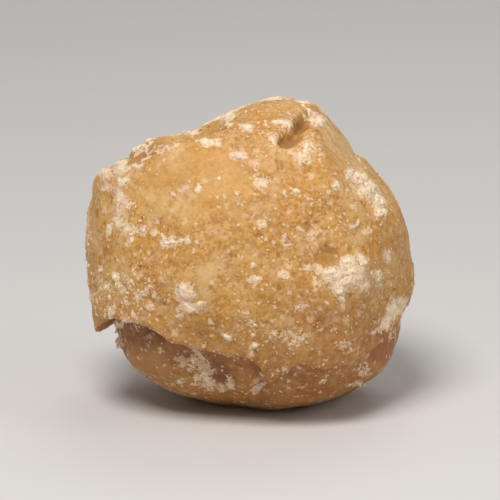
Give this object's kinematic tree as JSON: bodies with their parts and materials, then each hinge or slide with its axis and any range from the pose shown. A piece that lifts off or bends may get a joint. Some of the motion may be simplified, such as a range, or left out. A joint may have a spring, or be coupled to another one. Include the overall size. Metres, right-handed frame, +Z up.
{
  "type": "jaggery lump",
  "caption": "Hand-rolled lump of golden-brown jaggery: an uneven ball of set cane sugar with a pale crusted skin, a lipped edge and a small flat foot.",
  "frame": {"origin": "centre of the lump's footprint box, on the surface it stands on", "axes": "+Z up, -Y towards the lump's broad face, +X to the right as that face is looked at"},
  "size_m": [0.0494, 0.0474, 0.0458],
  "materials": {
    "jaggery": "waxy golden-brown set sugar, matt and grainy, with pale dry crust and powder on it"
  },
  "bodies": {
    "root": {"jaggery_lump": "jaggery"}
  },
  "joints": []
}
